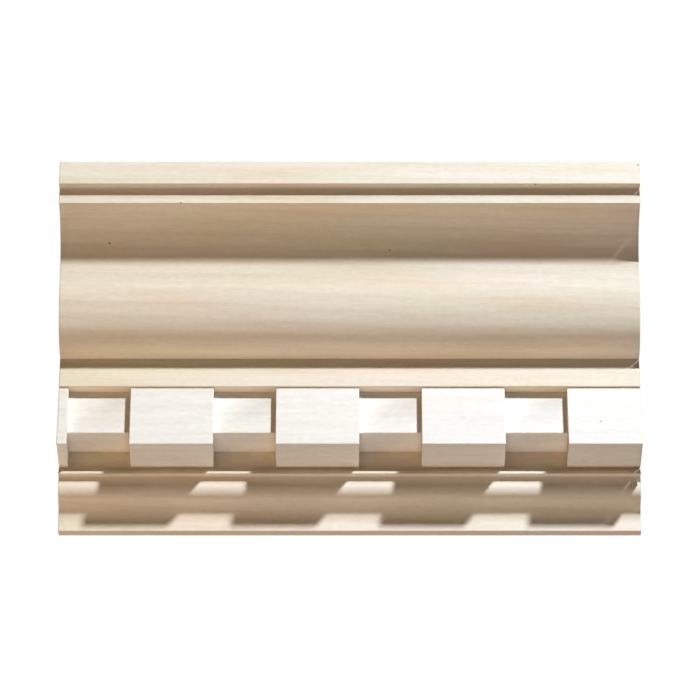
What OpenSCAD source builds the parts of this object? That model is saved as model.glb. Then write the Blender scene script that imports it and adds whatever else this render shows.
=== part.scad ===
// Cornice moulding length, in bare hardwood: a crown run through a moulder,
// with a great wave above and a small wave below, and a strip of paler wood,
// notched into dentils, glued into the step between them.  Both ends are cut
// square through the crown and the strip together.
//
// Axes: X along the stick, -Y out from the wall, +Z up to the ceiling.
// The origin is the centre of the wall foot, the narrow flat face that lies
// against the wall.  Sections are drawn as [out from wall, up from the
// bottom edge] and then stood up along the stick.

/* [Length and dentils] */
// Length of the stick, cut square at both ends
length = 203.2; // [150:0.1:3000]
// Spacing of the dentils, centre to centre
pitch = 50.8; // [30:0.1:80]
// Width of the gap between two dentils
gap_w = 21.7; // [10:0.1:40]
// Where the first gap starts, from the left end
first_gap = 3.4; // [0:0.1:30]

/* [Back of the crown] */
// Height of the wall foot, the flat face on the wall
foot_h = 38; // [20:0.5:50]
// Depth of the ceiling foot, the flat face on the ceiling
ceiling_foot = 20; // [10:0.5:40]

/* [Lower wave] */
// How far the bottom edge stands out from the wall
bottom_out = 3.1; // [2:0.1:8]
// Height of the plain edge under the lower wave
bottom_h = 2.8; // [0.5:0.1:8]
// Radius of the scoop, the hollow part of the lower wave
scoop_r = 7.5; // [4:0.1:12]
// Radius of the swell over the scoop
swell_r = 4.5; // [2:0.1:8]
// How far the face leans out from plumb between scoop and swell, as a sine
swell_sin = 0.936; // [0.6:0.0001:0.99]
// Height of the underside of the narrow band
band_h = 17.2; // [16:0.1:24]
// How far the narrow band stands out from the wall
band_out = 13.2; // [12:0.1:24]
// Thickness of the narrow band
band_t = 1.2; // [0.8:0.1:4]

/* [Dentil strip] */
// How far the ground behind the strip stands out from the wall
ground_out = 11.8; // [6:0.1:20]
// How far the dentil face stands out from the wall
dentil_out = 27.1; // [20:0.1:40]
// Height of the underside of a dentil
dentil_low = 20.5; // [15:0.1:30]
// Height of the top of the strip, under the flat band
dentil_high = 44.1; // [30:0.1:60]
// Radius worn on the lower front edge of a dentil
dentil_ease = 0.5; // [0.2:0.1:1]
// How far the web between two dentils stands out from the wall
web_out = 24.2; // [18:0.1:40]
// Height of the underside of the web
web_low = 27.0; // [20:0.1:40]

/* [Flat band] */
// How far the flat band over the dentils stands out from the wall
flat_out = 27.8; // [20:0.1:40]
// Height of the top of the flat band, where the great wave begins
flat_top = 55.5; // [45:0.1:80]

/* [Great wave] */
// Radius of the belly at the foot of the wave
belly_r = 15; // [8:0.1:30]
// Lean of the face from plumb where the belly slackens, as a sine
belly_sin = 0.5376; // [0.3:0.0001:0.8]
// Radius of the slack part of the belly
slack_r = 27.5; // [15:0.1:60]
// Lean of the face from plumb at the middle of the wave, as a sine
middle_sin = 0.07584; // [0.02:0.00001:0.25]
// Radius of the hollow just over the middle
over_r = 45; // [20:0.1:80]
// Lean of the face from plumb where the hollow tightens, as a sine
hollow_sin = 0.28; // [0.2:0.0001:0.5]
// Radius of the hollow under the lip
hollow_r = 17.9; // [10:0.1:30]

/* [Top] */
// Height of the lip face over the hollow
lip_h = 5.9; // [3:0.1:12]
// How far the top band stands out past the lip
top_step = 3.5; // [1:0.1:8]
// Height of the top band
top_h = 9.6; // [5:0.1:20]

/* [Hidden] */
$fn = 180;
e = 1; // how far a cut or a course runs past its neighbour
far = 120; // past the front of every course

// outward normal of a face whose lean from plumb has the sine s
function nrm(s) = [sqrt(1 - s * s), -s];

// lower wave: a swell over a scoop, tangent where they meet
scoop_c = [bottom_out + scoop_r, bottom_h];
turn = scoop_c - scoop_r * nrm(swell_sin);
swell_c = turn - swell_r * nrm(swell_sin);
swell_out = swell_c[0] + swell_r;

// great wave: belly, slack belly, slack hollow and hollow, each tangent to the next
belly_c = [flat_out, flat_top + belly_r];
wave_1 = belly_c + belly_r * nrm(belly_sin);
slack_c = wave_1 - slack_r * nrm(belly_sin);
wave_2 = slack_c + slack_r * nrm(middle_sin);
over_c = wave_2 + over_r * nrm(middle_sin);
wave_3 = over_c - over_r * nrm(hollow_sin);
hollow_c = wave_3 + hollow_r * nrm(hollow_sin);
lip_out = hollow_c[0];
lip_low = hollow_c[1] + hollow_r;

// top
lip_top = lip_low + lip_h;
top_out = lip_out + top_step;
height = lip_top + top_h;

// dentils
gap_count = ceil((length - first_gap) / pitch);

// one course of the section: from the wall plane out to p, between two heights
module course(p, low, high) {
    translate([0, low]) square([p, high - low]);
}

// a circle, kept between two heights
module disc(c, r, low, high) {
    intersection() {
        translate(c) circle(r);
        translate([0, low]) square([far, high - low]);
    }
}

// a course whose front is the near side of a circle that stands in front of it
module scooped(p, c, r, low, high) {
    difference() {
        course(p, low, high);
        translate(c) circle(r);
    }
}

// section of the crown
module crown_section() {
    difference() {
        union() {
            course(bottom_out, 0, bottom_h);
            scooped(turn[0] + e, scoop_c, scoop_r, bottom_h, turn[1]);
            course(swell_c[0], turn[1], swell_c[1]);
            disc(swell_c, swell_r, turn[1], swell_c[1]);
            course(swell_out, swell_c[1], band_h + e);
            course(band_out, band_h, band_h + band_t);
            course(ground_out, band_h, dentil_high + e);
            course(flat_out, dentil_high, wave_1[1]);
            disc(belly_c, belly_r, flat_top - e, wave_1[1]);
            course(flat_out, wave_1[1], wave_2[1]);
            disc(slack_c, slack_r, wave_1[1], wave_2[1]);
            scooped(wave_3[0] + e, over_c, over_r, wave_2[1], wave_3[1]);
            scooped(lip_out, hollow_c, hollow_r, wave_3[1], lip_top + e);
            course(top_out, lip_top, height);
        }
        polygon([
            [-e, foot_h],
            [0, foot_h],
            [top_out - ceiling_foot, height],
            [top_out - ceiling_foot, height + e],
            [-e, height + e]
        ]);
    }
}

// section of a dentil, with its lower front edge eased
module dentil_section() {
    difference() {
        translate([ground_out, dentil_low])
            square([dentil_out - ground_out, dentil_high - dentil_low]);
        difference() {
            translate([dentil_out - dentil_ease, dentil_low - e])
                square([dentil_ease + e, dentil_ease + e]);
            translate([dentil_out - dentil_ease, dentil_low + dentil_ease])
                circle(dentil_ease);
        }
    }
}

// stands a section up along the stick
module run() {
    translate([length / 2, 0, -foot_h / 2])
        rotate([90, 0, -90])
            linear_extrude(height = length)
                children();
}

// the notches between the dentils: a shallow one that leaves the web, and one
// right through the strip under it
module notches() {
    for (i = [0 : gap_count - 1]) {
        x0 = first_gap + i * pitch - length / 2;
        translate([x0, -dentil_out - e, dentil_low - e - foot_h / 2]) {
            cube([gap_w, dentil_out + e - web_out, dentil_high - dentil_low + 2 * e]);
            cube([gap_w, dentil_out + 2 * e - ground_out, web_low - dentil_low + e]);
        }
    }
}

module crown() {
    color("burlywood") run() crown_section();
}

module dentil_strip() {
    color("cornsilk")
        difference() {
            run() dentil_section();
            notches();
        }
}

crown();
dentil_strip();
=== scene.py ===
"""Looks of a length of dentilled cornice moulding: a bare wood crown with a paler dentil strip."""
import math

import bmesh
import bpy
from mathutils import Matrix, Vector


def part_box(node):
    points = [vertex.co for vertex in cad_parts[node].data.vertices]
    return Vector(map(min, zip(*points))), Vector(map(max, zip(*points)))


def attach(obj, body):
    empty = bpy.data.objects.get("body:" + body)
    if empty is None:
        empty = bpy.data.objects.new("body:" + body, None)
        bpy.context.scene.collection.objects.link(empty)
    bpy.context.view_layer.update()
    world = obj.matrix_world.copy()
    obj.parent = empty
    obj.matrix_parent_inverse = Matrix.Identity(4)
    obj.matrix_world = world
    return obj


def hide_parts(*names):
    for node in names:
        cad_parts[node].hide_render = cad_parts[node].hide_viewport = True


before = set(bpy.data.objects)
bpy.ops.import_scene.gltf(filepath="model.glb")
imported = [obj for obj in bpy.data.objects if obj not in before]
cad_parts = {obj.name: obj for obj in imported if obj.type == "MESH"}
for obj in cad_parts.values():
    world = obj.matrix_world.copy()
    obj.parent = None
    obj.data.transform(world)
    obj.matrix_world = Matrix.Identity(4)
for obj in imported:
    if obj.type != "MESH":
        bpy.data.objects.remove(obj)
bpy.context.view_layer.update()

lo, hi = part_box("crown")
strip_lo, strip_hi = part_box("dentil_strip")
MM = 0.001
HALF = (hi.x - lo.x) / 2
LENGTH = 2 * HALF / MM  # in millimetres, as the section is
Z0 = lo.z  # the bottom edge of the crown
centre = (lo + hi) / 2

# ---------------------------------------------------------------------------
# The section, as [out from wall, up from the bottom edge] in millimetres
# ---------------------------------------------------------------------------
bottom_out, bottom_h = 3.1, 2.8
scoop_r, swell_r, swell_sin = 7.5, 4.5, 0.936
band_h, band_out, band_t = 17.2, 13.2, 1.2
flat_out, flat_top = 27.8, 55.5
belly_r, belly_sin = 15, 0.5376
slack_r, middle_sin = 27.5, 0.07584
over_r, hollow_sin = 45, 0.28
hollow_r = 17.9
lip_h, top_step, top_h = 5.9, 3.5, 9.6
foot_h, ceiling_foot = 38, 20
# the dentil strip, from its own box and its notches
ground_out = -strip_hi.y / MM
dentil_out = -strip_lo.y / MM
dentil_low = (strip_lo.z - Z0) / MM
dentil_high = (strip_hi.z - Z0) / MM
web_out, web_low = 24.2, 27.0
pitch, gap_w, first_gap = 50.8, 21.7, 3.4
# degrees between the points of small, middling and large arcs
TIGHT_STEP, ROUND_STEP, WIDE_STEP = 3, 2, 1.5
# radii left by the sandpaper
CROWN_EASE = 0.25
DENTIL_EASE = 0.3
DENTIL_LOW_EASE = 0.5
# an edge that turns by more degrees than this is an arris, not a step of an arc
ARRIS_TURN = 20
TOUCH = 1e-6  # a difference smaller than this is rounding


def nrm(s):
    """Outward normal of a face whose lean from plumb has the sine s."""
    return (math.sqrt(1 - s * s), -s)


def along(a, k, n):
    return (a[0] + k * n[0], a[1] + k * n[1])


def between(a, b, part):
    """The point that part of the way from a to b."""
    return (a[0] + part * (b[0] - a[0]), a[1] + part * (b[1] - a[1]))


def lean(s):
    return math.degrees(math.asin(s))


def arc(c, r, a0, a1, step):
    """Points on a circle from angle a0 to a1, in degrees from straight out, without the first."""
    n = max(2, int(abs(a1 - a0) / step + 0.5))
    turns = [math.radians(a0 + (a1 - a0) * i / n) for i in range(1, n + 1)]
    return [(c[0] + r * math.cos(t), c[1] + r * math.sin(t)) for t in turns]


def front_line():
    """The crown's front from the bottom back edge up to the top of the top band."""
    scoop_c = (bottom_out + scoop_r, bottom_h)
    turn = along(scoop_c, -scoop_r, nrm(swell_sin))
    swell_c = along(turn, -swell_r, nrm(swell_sin))
    swell_out = swell_c[0] + swell_r
    belly_c = (flat_out, flat_top + belly_r)
    wave_1 = along(belly_c, belly_r, nrm(belly_sin))
    slack_c = along(wave_1, -slack_r, nrm(belly_sin))
    wave_2 = along(slack_c, slack_r, nrm(middle_sin))
    over_c = along(wave_2, over_r, nrm(middle_sin))
    wave_3 = along(over_c, -over_r, nrm(hollow_sin))
    hollow_c = along(wave_3, hollow_r, nrm(hollow_sin))
    lip_out, lip_low = hollow_c[0], hollow_c[1] + hollow_r
    lip_top = lip_low + lip_h
    line = [(0.0, 0.0), (bottom_out, 0.0), (bottom_out, bottom_h)]
    line += arc(scoop_c, scoop_r, 180, 180 - lean(swell_sin), TIGHT_STEP)
    line += arc(swell_c, swell_r, -lean(swell_sin), 0, TIGHT_STEP)
    line += [(swell_out, band_h), (band_out, band_h)]
    line += [(band_out, band_h + band_t), (ground_out, band_h + band_t)]
    line += [(ground_out, dentil_high), (flat_out, dentil_high), (flat_out, flat_top)]
    line += arc(belly_c, belly_r, -90, -lean(belly_sin), ROUND_STEP)
    line += arc(slack_c, slack_r, -lean(belly_sin), -lean(middle_sin), WIDE_STEP)
    line += arc(over_c, over_r, 180 - lean(middle_sin), 180 - lean(hollow_sin), WIDE_STEP)
    line += arc(hollow_c, hollow_r, 180 - lean(hollow_sin), 90, ROUND_STEP)
    line += [(lip_out, lip_top), (lip_out + top_step, lip_top)]
    line.append((lip_out + top_step, lip_top + top_h))
    return line


FRONT = front_line()
top_out, height = FRONT[-1]


def wave_out(up):
    """How far out the great wave stands at a height over the bottom edge."""
    for low, high in zip(FRONT, FRONT[1:]):
        if high[1] > flat_top and low[1] <= up < high[1]:
            return between(low, high, (up - low[1]) / (high[1] - low[1]))[0]


def place(x, q):
    """A section point at x metres along the stick."""
    return (x, -q[0] * MM, Z0 + q[1] * MM)


# ---------------------------------------------------------------------------
# Meshes
# ---------------------------------------------------------------------------
def crown_mesh():
    """The crown's section run along the whole length, as one closed mesh."""
    bm = bmesh.new()
    ring = FRONT + [(top_out - ceiling_foot, height), (0.0, foot_h)]
    ends = [[bm.verts.new(place(x, q)) for q in ring] for x in (-HALF, HALF)]
    for i in range(len(ring)):
        j = (i + 1) % len(ring)
        bm.faces.new((ends[0][i], ends[1][i], ends[1][j], ends[0][j]))
    bm.faces.new(ends[0])
    bm.faces.new(ends[1][::-1])
    return bm


def strip_mesh():
    """The dentil strip as one closed mesh: dentils and webs in turn, with a step face between them."""
    bm = bmesh.new()
    cuts = [-HALF]
    x = first_gap * MM - HALF
    while x < HALF:
        cuts += [x, x + gap_w * MM]
        x += pitch * MM
    cuts.append(HALF)
    back_low, front_low = (ground_out, dentil_low), (dentil_out, dentil_low)
    front_top, web_top = (dentil_out, dentil_high), (web_out, dentil_high)
    back_top = (ground_out, dentil_high)
    web_back, web_front = (ground_out, web_low), (web_out, web_low)
    dentil = [back_low, front_low, front_top, web_top, back_top, web_back]
    web = [web_back, web_front, web_top, back_top]
    step = [back_low, front_low, front_top, web_top, web_front, web_back]
    made = {}

    def v(i, q):
        if (i, q) not in made:
            made[(i, q)] = bm.verts.new(place(cuts[i], q))
        return made[(i, q)]

    for i in range(len(cuts) - 1):
        ring = web if i % 2 else dentil
        for a, b in zip(ring, ring[1:] + ring[:1]):
            bm.faces.new((v(i, a), v(i + 1, a), v(i + 1, b), v(i, b)))
    for i in range(1, len(cuts) - 1):
        bm.faces.new([v(i, q) for q in step])
    for i in (0, len(cuts) - 1):
        bm.faces.new([v(i, q) for q in dentil])
    return bm


def is_dentil_foot(edge):
    """The lower front edge of a dentil."""
    foot = place(0, (dentil_out, dentil_low))
    return all(abs(v.co.y - foot[1]) < TOUCH and abs(v.co.z - foot[2]) < TOUCH for v in edge.verts)


def wooden_piece(name, bm, ease, full=None):
    """A piece with sanded outer edges. ease is the radius; full picks the edges that get all of it."""
    bmesh.ops.recalc_face_normals(bm, faces=bm.faces)
    weight = bm.edges.layers.float.new("bevel_weight_edge")
    for edge in bm.edges:
        turn = math.degrees(edge.calc_face_angle(0))
        edge.smooth = turn < ARRIS_TURN
        if edge.is_convex and turn > ARRIS_TURN:
            edge[weight] = 1.0 if full is None or full(edge) else DENTIL_EASE / ease
            edge.smooth = True
    mesh = bpy.data.meshes.new(name)
    bm.to_mesh(mesh)
    bm.free()
    piece = bpy.data.objects.new(name, mesh)
    bpy.context.scene.collection.objects.link(piece)
    mesh.polygons.foreach_set("use_smooth", [True] * len(mesh.polygons))
    bevel = piece.modifiers.new("ease", "BEVEL")
    bevel.limit_method = "WEIGHT"
    bevel.width = ease * MM
    bevel.segments = 3
    bevel.use_clamp_overlap = True
    normals = piece.modifiers.new("flat faces", "WEIGHTED_NORMAL")
    normals.weight = 100
    normals.keep_sharp = True
    return piece


crown = wooden_piece("crown_moulding", crown_mesh(), CROWN_EASE)
strip = wooden_piece("dentil_course", strip_mesh(), DENTIL_LOW_EASE, is_dentil_foot)


# ---------------------------------------------------------------------------
# Wood
# ---------------------------------------------------------------------------
class Graph:
    """The nodes of a material or world, as nested calls: an input takes a value or an output."""

    def __init__(self, owner):
        owner.use_nodes = True
        self.owner = owner
        self.tree = owner.node_tree
        self.tree.nodes.clear()

    def node(self, kind, inputs, **settings):
        n = self.tree.nodes.new(kind)
        for key, value in settings.items():
            setattr(n, key, value)
        for key, value in inputs.items():
            if isinstance(value, bpy.types.NodeSocket):
                self.tree.links.new(value, n.inputs[key])
            else:
                n.inputs[key].default_value = value
        return n

    def math(self, operation, a, b=0.0, clamp=False):
        n = self.node("ShaderNodeMath", {0: a, 1: b}, operation=operation, use_clamp=clamp)
        return n.outputs[0]

    def mix(self, factor, a, b, blend="MIX"):
        n = self.node("ShaderNodeMix", {0: factor, 6: a, 7: b}, data_type="RGBA", blend_type=blend)
        return n.outputs[2]

    def span(self, value, a, b, c=0.0, d=1.0):
        """Carries a..b to c..d and stops there."""
        n = self.node("ShaderNodeMapRange", {"Value": value, 1: a, 2: b, 3: c, 4: d}, clamp=True)
        return n.outputs[0]

    def at(self):
        return self.node("ShaderNodeTexCoord", {}).outputs["Object"]

    def grain(self, length, width, detail=2.0, offset=(0, 0, 0)):
        """Noise drawn out along the stick: length and width of a mark in millimetres."""
        stretch = (1 / (length * MM), 1 / (width * MM), 1 / (width * MM))
        laid = self.node("ShaderNodeMapping", {"Vector": self.at(), "Scale": stretch, "Location": offset})
        settings = {"Vector": laid.outputs[0], "Scale": 1.0, "Detail": detail}
        return self.node("ShaderNodeTexNoise", settings).outputs["Fac"]

    def swing(self, value, reach):
        """Carries a noise to minus reach .. reach."""
        return self.span(value, 0.3, 0.7, -reach, reach)


def growth_rings(g, pith, width, slope):
    """0 to 1 across each year's ring: slow early wood, then a quick line of late wood."""
    xyz = g.node("ShaderNodeSeparateXYZ", {0: g.at()}).outputs
    y = g.math("SUBTRACT", xyz[1], pith[0] * MM)
    z = g.math("SUBTRACT", xyz[2], pith[1] * MM)
    reach = g.math("SQRT", g.math("ADD", g.math("MULTIPLY", y, y), g.math("MULTIPLY", z, z)))
    bend = g.math("MULTIPLY", g.math("SUBTRACT", g.grain(70, 26, 1.5), 0.5), RING_WANDER * MM)
    reach = g.math("ADD", g.math("ADD", reach, bend), g.math("MULTIPLY", xyz[0], slope))
    year = g.math("FRACT", g.math("DIVIDE", reach, width * MM))
    rise = g.span(year, 0.15, 0.86)
    fall = g.span(year, 0.90, 1.0, 1.0, 0.0)
    return g.math("MULTIPLY", g.math("POWER", rise, 2.2), fall)


def specks(g, spots):
    """1 at each tiny dark speck, given as (x, y, z, radius) in millimetres."""
    total = 0.0
    for x, y, z, radius in spots:
        spot = (x * MM, y * MM, z * MM)
        far = g.node("ShaderNodeVectorMath", {0: g.at(), 1: spot}, operation="DISTANCE").outputs["Value"]
        total = g.math("ADD", g.span(far, radius * MM, 0.4 * radius * MM), total, clamp=True)
    return total


def face_colour(g, rings, fibre, fine, fleck, early, late, pink, green, ring_depth):
    """The long faces: rings, broad tints that each multiply the colour, and the fine grain's shade."""
    blush = g.span(g.grain(75, 11), 0.46, 0.68)
    cast = g.span(g.grain(95, 14, offset=(4.4, 1.3, 8.1)), 0.46, 0.68)
    streak = g.grain(60, 2.6, 3.0, (3.1, 0, 0))
    mottle = g.grain(2.6, 1.1, offset=(1.9, 6.2, 0))
    colour = g.mix(g.math("MULTIPLY", rings, ring_depth), early, late)
    colour = g.mix(blush, colour, pink, "MULTIPLY")
    colour = g.mix(cast, colour, green, "MULTIPLY")
    shade = g.span(streak, 0.3, 0.7, 1 - STREAK, 1 + STREAK)
    for noise, reach in ((fine, FINE_SHADE), (fibre, FIBRE_SHADE), (mottle, MOTTLE_SHADE)):
        shade = g.math("ADD", shade, g.swing(noise, reach))
    shade = g.math("SUBTRACT", shade, g.math("MULTIPLY", fleck, FLECK_SHADE))
    # blue swings further than red and green, so darker marks are warmer
    warm = g.math("SUBTRACT", g.math("MULTIPLY", shade, 1 + WARMTH), WARMTH)
    tone = g.node("ShaderNodeCombineColor", {0: shade, 1: shade, 2: warm}).outputs[0]
    return g.mix(1.0, colour, tone, "MULTIPLY")


def end_colour(g, rings, end_grain):
    """The cut ends: open pores, and rings that stand out more than on the faces."""
    pores = g.span(g.grain(12, 0.22), 0.35, 0.7)
    colour = g.mix(g.math("MULTIPLY", pores, 0.4), end_grain, END_PORE, "MULTIPLY")
    return g.mix(g.math("MULTIPLY", rings, 0.55), colour, END_LATE, "MULTIPLY")


def relief(g, fibre, fine, fleck, marks):
    """The bump: fibres, flecks sunk in, and low waves left by the cutters, plainest on the strip."""
    cutter = g.grain(7, 0.75, 1.0, (0, 2.2, 0))
    tall = g.math("ADD", g.math("MULTIPLY", fibre, 0.5), g.math("MULTIPLY", fine, 0.35))
    tall = g.math("ADD", tall, g.math("MULTIPLY", cutter, marks))
    tall = g.math("SUBTRACT", tall, g.math("MULTIPLY", fleck, 0.4))
    bump = {"Height": tall, "Strength": 0.35, "Distance": RELIEF * MM}
    return g.node("ShaderNodeBump", bump).outputs[0]


def wood(name, early, late, pink, green, pith, ring_w, slope, ring_depth, marks, end_grain, spots):
    """Bare sanded wood, with end grain on the cuts."""
    g = Graph(bpy.data.materials.new(name))
    rings = growth_rings(g, pith, ring_w, slope)
    fibre = g.grain(9, 0.32, offset=(0, 5.7, 0))
    fine = g.grain(28, 0.9, offset=(0, 0, 9.3))
    fleck = g.span(g.grain(1.9, 0.36, 0.0, (7.7, 0, 0)), 0.72, 0.82)
    facing = g.node("ShaderNodeNewGeometry", {}).outputs["True Normal"]
    across = g.math("ABSOLUTE", g.node("ShaderNodeSeparateXYZ", {0: facing}).outputs[0])
    end = g.span(across, 0.5, 0.9)

    colour = face_colour(g, rings, fibre, fine, fleck, early, late, pink, green, ring_depth)
    colour = g.mix(g.math("MULTIPLY", end, 0.8), colour, end_colour(g, rings, end_grain))
    colour = g.mix(specks(g, spots), colour, SPECK_COLOUR)
    rough = g.span(fine, 0.3, 0.7, *FACE_ROUGH)
    rough = g.math("ADD", rough, g.math("MULTIPLY", end, END_ROUGH), clamp=True)
    bsdf = g.node("ShaderNodeBsdfPrincipled", {
        "Base Color": colour, "Roughness": rough, "Normal": relief(g, fibre, fine, fleck, marks),
        "Specular IOR Level": 0.3})
    g.node("ShaderNodeOutputMaterial", {"Surface": bsdf.outputs[0]})
    return g.owner


# how far each kind of mark swings the brightness of the wood
STREAK, FINE_SHADE, FIBRE_SHADE, MOTTLE_SHADE, FLECK_SHADE = 0.032, 0.018, 0.016, 0.035, 0.07
WARMTH = 0.35
RING_WANDER = 5.0  # millimetres
RELIEF = 0.06  # millimetres
FACE_ROUGH, END_ROUGH = (0.56, 0.68), 0.15
END_PORE, END_LATE = (0.55, 0.42, 0.28, 1), (0.62, 0.47, 0.31, 1)
SPECK_COLOUR = (0.20, 0.13, 0.07, 1)


def speck(share, out, up, radius):
    """A dark speck at a share of the length from the left end, as (x, y, z, radius) in millimetres."""
    return ((share - 0.5) * LENGTH, -out, Z0 / MM + up, radius)


band_foot = height - top_h
lip_foot = band_foot - lip_h
high_speck, low_speck = lip_foot - 7, lip_foot - 9  # two in the hollow of the wave
CROWN_SPECKS = (
    speck(0.085, wave_out(high_speck), high_speck, 0.5),
    speck(0.57, wave_out(low_speck), low_speck, 0.35),
    speck(0.21, top_out - top_step, lip_foot + 0.2, 0.4),
    speck(0.82, top_out - 0.5, band_foot, 0.4),
    speck(0.998, top_out, height - 1.5, 0.4))
STRIP_SPECKS = (speck(0.93, dentil_out, dentil_low + 0.4 * (dentil_high - dentil_low), 0.35),)

crown.data.materials.append(wood(
    "bare_wood", early=(0.885, 0.785, 0.62, 1), late=(0.76, 0.62, 0.44, 1),
    pink=(0.99, 0.93, 0.89, 1), green=(0.95, 0.985, 0.91, 1),
    pith=(40, -25), ring_w=4.6, slope=0.035, ring_depth=0.22, marks=0.3,
    end_grain=(0.78, 0.66, 0.48, 1), spots=CROWN_SPECKS))
strip.data.materials.append(wood(
    "pale_wood", early=(0.93, 0.89, 0.79, 1), late=(0.88, 0.81, 0.68, 1),
    pink=(1.0, 0.97, 0.95, 1), green=(0.975, 0.995, 0.955, 1),
    pith=(30, 60), ring_w=3.4, slope=0.02, ring_depth=0.2, marks=1.2,
    end_grain=(0.88, 0.80, 0.66, 1), spots=STRIP_SPECKS))

for piece, stands_for, slot in ((crown, "crown", "bare_wood"), (strip, "dentil_strip", "pale_wood")):
    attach(piece, "root")
    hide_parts(stands_for)


# ---------------------------------------------------------------------------
# Stage and light
# ---------------------------------------------------------------------------
def area(name, offset, size, power, colour):
    """A round soft light at an offset from the middle of the moulding, turned to face it."""
    data = bpy.data.lights.new(name, "AREA")
    data.shape, data.size, data.energy, data.color = "DISK", size, power, colour
    lamp = bpy.data.objects.new(name, data)
    bpy.context.scene.collection.objects.link(lamp)
    lamp.location = centre + Vector(offset)
    lamp.rotation_mode = "QUATERNION"
    lamp.rotation_quaternion = (-Vector(offset)).to_track_quat("-Z", "Y")
    lamp.visible_camera = False
    return lamp


def key_feather(offset, size, power, colour):
    """A soft-edged beam from the key's own place that lifts the right end of the moulding."""
    data = bpy.data.lights.new("key_feather", "SPOT")
    data.energy, data.color, data.shadow_soft_size = power, colour, size / 2
    data.spot_size, data.spot_blend = math.radians(FEATHER_CONE), 1.0
    lamp = bpy.data.objects.new("key_feather", data)
    bpy.context.scene.collection.objects.link(lamp)
    lamp.location = centre + Vector(offset)
    lamp.rotation_mode = "QUATERNION"
    beam = Vector((FEATHER_AIM * HALF, 0, 0)) - Vector(offset)
    lamp.rotation_quaternion = beam.to_track_quat("-Z", "Y")


def staged(name, points, faces):
    mesh = bpy.data.meshes.new(name)
    mesh.from_pydata(points, [], faces)
    made = bpy.data.objects.new(name, mesh)
    bpy.context.scene.collection.objects.link(made)
    return made


def camera_sees(g, seen, unseen):
    """One shader to the camera's own rays and another to all other light."""
    camera_ray = g.node("ShaderNodeLightPath", {}).outputs["Is Camera Ray"]
    return g.node("ShaderNodeMixShader", {0: camera_ray, 1: unseen, 2: seen}).outputs[0]


def plain_floor():
    """Pale to the eye, and dull to the light, so that it doesn't fill the moulding's shadows."""
    wide, low = 6.0, -1.3
    corners = [(-wide, -wide, low), (wide, -wide, low), (wide, wide, low), (-wide, wide, low)]
    floor = staged("floor", corners, [(0, 1, 2, 3)])
    g = Graph(bpy.data.materials.new("floor"))
    dull = g.node("ShaderNodeBsdfDiffuse", {"Color": (0.2, 0.2, 0.2, 1)}).outputs[0]
    pale = g.node("ShaderNodeEmission", {"Color": (0.9, 0.9, 0.89, 1), "Strength": 1.0}).outputs[0]
    g.node("ShaderNodeOutputMaterial", {"Surface": camera_sees(g, pale, dull)})
    floor.data.materials.append(g.owner)


def flag(lamp):
    """A card past the right end that carries the moulding's own shadows on to the cut.

    It fills only the air that a longer moulding would shade from the lamp, so the cut end
    stays lit. It casts shadows, and is hidden from the camera and from bounced light.
    """
    light = (-lamp.location.y / MM, (lamp.location.z - Z0) / MM)
    points, faces = [], []

    def climb(q):
        """How steeply the ray from a section point rises to the lamp."""
        return (light[1] - q[1]) / (light[0] - q[0])

    def card(ring):
        faces.append(list(range(len(points), len(points) + len(ring))))
        points.extend(place(HALF + FLAG_GAP * MM, q) for q in ring)

    def shade(line):
        """Cards the air behind each corner of a line that runs down the front."""
        caster, shaded = line[0], []
        for q in line[1:]:
            if climb(q) < climb(caster) - TOUCH:
                shaded.append(q)
                continue
            if shaded:
                # the shadow ends where the ray past the caster meets the stretch from last to q
                last = shaded[-1]
                last_off = last[1] - caster[1] - climb(caster) * (last[0] - caster[0])
                q_off = q[1] - caster[1] - climb(caster) * (q[0] - caster[0])
                card([caster] + shaded + [between(last, q, last_off / (last_off - q_off))])
            caster, shaded = q, []

    down = FRONT[::-1]
    step = down.index((ground_out, dentil_high))
    shade(down[:step] + [(dentil_out, dentil_high), (dentil_out, dentil_low)])
    # under the dentil a web would cast the shadow, by a ray that crosses the dentil's foot here
    web_ray = web_out - (web_low - dentil_low) / climb((web_out, web_low))
    shade([(web_ray, dentil_low), (ground_out, dentil_low)] + down[step + 1:])
    # the rest of the last dentil, up to the next gap
    rest = first_gap + pitch * math.ceil((LENGTH - first_gap) / pitch) - LENGTH
    reach = rest / ((lamp.location.x - HALF) / MM)
    back = reach * (light[0] - dentil_out)
    drop = reach * (light[1] - dentil_low)
    card([(dentil_out, dentil_low), (dentil_out - back, dentil_low - drop),
          (band_out, dentil_low - drop), (band_out, dentil_low)])

    hidden = staged("flag", points, faces)
    hidden.visible_camera = False
    hidden.visible_diffuse = False
    hidden.visible_glossy = False
    hidden.visible_transmission = False


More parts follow.
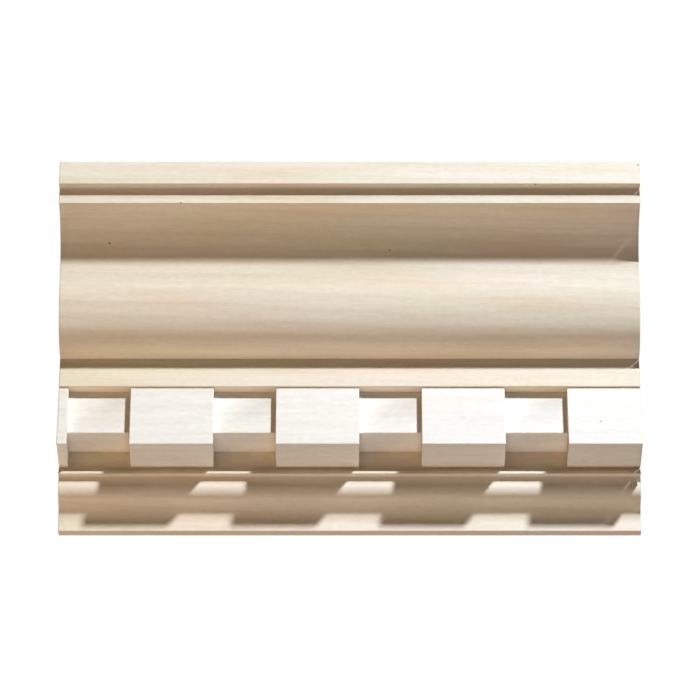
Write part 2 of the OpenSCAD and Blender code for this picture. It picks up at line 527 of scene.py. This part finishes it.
def studio(strength, colour):
    """A white backdrop to the camera, and a soft light of its own strength to the wood."""
    g = Graph(bpy.data.worlds.new("studio"))
    bpy.context.scene.world = g.owner
    light = g.node("ShaderNodeBackground", {"Strength": strength, "Color": colour}).outputs[0]
    white = g.node("ShaderNodeBackground", {"Strength": 1.0, "Color": (1, 1, 1, 1)}).outputs[0]
    g.node("ShaderNodeOutputWorld", {"Surface": camera_sees(g, white, light)})


FLAG_GAP = 0.03  # millimetres past the cut
FEATHER_CONE = 12  # degrees
FEATHER_AIM = 1.2  # of half the length, to the right of the middle
KEY_PLACE = (0.755, -1.17, 0.90)
KEY_SIZE = 0.145

plain_floor()
studio(strength=0.01, colour=(1, 0.93, 0.86, 1))
# the key stands high at the front right; the rest fill its shadows and light the back
key = area("key", KEY_PLACE, KEY_SIZE, power=38.4, colour=(0.875, 0.922, 1.0))
key_feather(KEY_PLACE, KEY_SIZE, power=23, colour=(0.32, 0.44, 1.0))
flag(key)
area("below", (0, -0.15, -1.0), size=0.8, power=3.55, colour=(1, 0.85, 0.79))
area("near_left", (-0.32, -0.15, -0.25), size=0.25, power=0.24, colour=(1, 0.57, 0.16))
area("back", (-0.7, 1.2, 0.1), size=1.0, power=24, colour=(1, 0.97, 0.93))
bpy.context.scene.view_settings.view_transform = "Standard"

# ---------------------------------------------------------------------------
# Camera
# ---------------------------------------------------------------------------
ELEVATION = 34.2  # it looks up by this many degrees
DISTANCE = 1.4175  # from the bottom back edge, along the line of sight
RISE = 0.0648  # the middle of the view over that edge, across the line of sight
ASIDE = 0.00016
SENSOR, LENS = 36, 208.9  # millimetres

cam_data = bpy.data.cameras.new("camera")
cam = bpy.data.objects.new("camera", cam_data)
bpy.context.scene.collection.objects.link(cam)
bpy.context.scene.camera = cam
tilt = math.radians(ELEVATION)
look = Vector((0, math.cos(tilt), math.sin(tilt)))
across_look = Vector((0, -math.sin(tilt), math.cos(tilt)))
cam.location = Vector((ASIDE, 0, Z0)) + across_look * RISE - look * DISTANCE
cam.rotation_mode = "QUATERNION"
cam.rotation_quaternion = look.to_track_quat("-Z", "Y")
cam_data.sensor_width = SENSOR
cam_data.lens = LENS
cam_data.clip_start, cam_data.clip_end = 0.01, 50
cam_data.dof.use_dof = False
